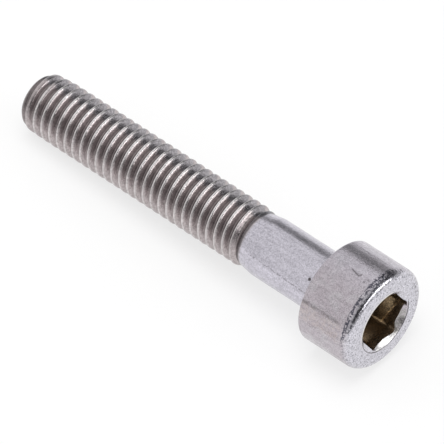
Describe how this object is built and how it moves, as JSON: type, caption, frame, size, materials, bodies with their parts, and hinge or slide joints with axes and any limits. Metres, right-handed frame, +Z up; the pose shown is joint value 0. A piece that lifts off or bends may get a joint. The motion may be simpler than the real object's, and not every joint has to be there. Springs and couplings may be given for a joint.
{
  "type": "hex socket cap screw",
  "caption": "Partly threaded cap screw with a tall cylindrical head, hexagon socket, plain shank and rolled metric thread, lying on its side.",
  "frame": {"origin": "on the surface that the screw lies on, under the centre of its box", "axes": "+Z up, +X along the screw from the tip to the head, +Y across it"},
  "size_m": [0.0352, 0.0084, 0.0086],
  "materials": {
    "steel": "satin, slightly mottled"
  },
  "bodies": {
    "root": {"cap_screw": "steel"}
  },
  "joints": []
}
